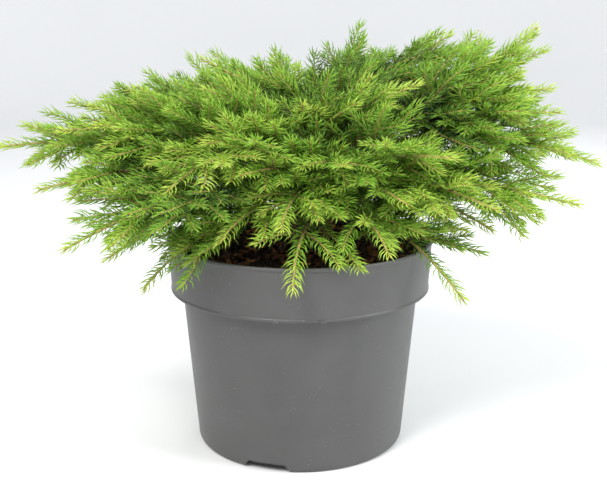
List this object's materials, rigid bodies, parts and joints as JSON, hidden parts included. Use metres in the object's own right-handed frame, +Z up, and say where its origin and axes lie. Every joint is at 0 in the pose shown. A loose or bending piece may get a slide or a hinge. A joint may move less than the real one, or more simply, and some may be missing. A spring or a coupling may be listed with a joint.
{
  "type": "potted birds nest spruce",
  "caption": "Low spreading spruce: flat layered sprays of short needles on bare boughs and a short leaning trunk, in a round tapered nursery pot.",
  "frame": {"origin": "middle of the pot's flat underside", "axes": "+Z up; -Y is the front that the picture shows, +X its right-hand side"},
  "size_m": [0.4781, 0.3779, 0.3452],
  "materials": {
    "pot": "satin moulded plastic, mid grey",
    "soil": "damp peat with bark chips",
    "bark": "rough brown bark",
    "foliage": "waxy needles, yellow-green at the tips and dark green inside"
  },
  "bodies": {
    "root": {"bough_back_left": "bark", "bough_back_left_mid": "bark", "bough_back_long": "bark", "bough_back_right_low": "bark", "bough_back_right_mid": "bark", "bough_left_front_long": "bark", "bough_left_long": "bark", "bough_left_low": "bark", "bough_right_front_high": "bark", "bough_right_high": "bark", "bough_right_long": "bark", "bough_right_mid": "bark", "bough_right_tall": "bark", "foliage_back_high": "foliage", "foliage_back_left": "foliage", "foliage_back_left_high": "foliage", "foliage_back_left_low": "foliage", "foliage_back_left_mid": "foliage", "foliage_back_long": "foliage", "foliage_back_right_low": "foliage", "foliage_back_right_mid": "foliage", "foliage_back_right_skirt": "foliage", "foliage_back_skirt": "foliage", "foliage_front_bright": "foliage", "foliage_front_centre": "foliage", "foliage_front_hanging": "foliage", "foliage_front_left": "foliage", "foliage_front_left_high": "foliage", "foliage_front_left_low": "foliage", "foliage_front_left_skirt": "foliage", "foliage_front_mid": "foliage", "foliage_front_right_long": "foliage", "foliage_front_right_low": "foliage", "foliage_front_right_mid": "foliage", "foliage_left_front_long": "foliage", "foliage_left_high": "foliage", "foliage_left_long": "foliage", "foliage_left_low": "foliage", "foliage_left_mid": "foliage", "foliage_left_skirt": "foliage", "foliage_left_top": "foliage", "foliage_right_arch": "foliage", "foliage_right_front_high": "foliage", "foliage_right_front_mid": "foliage", "foliage_right_front_skirt": "foliage", "foliage_right_high": "foliage", "foliage_right_long": "foliage", "foliage_right_low": "foliage", "foliage_right_mid": "foliage", "foliage_right_tall": "foliage", "foliage_top_back_left": "foliage", "foliage_top_back_right": "foliage", "foliage_top_front": "foliage", "foliage_top_front_left": "foliage", "foliage_top_front_right": "foliage", "foliage_top_left": "foliage", "foliage_top_right": "foliage", "pot": "pot", "soil": "soil", "trunk": "bark"}
  },
  "joints": []
}
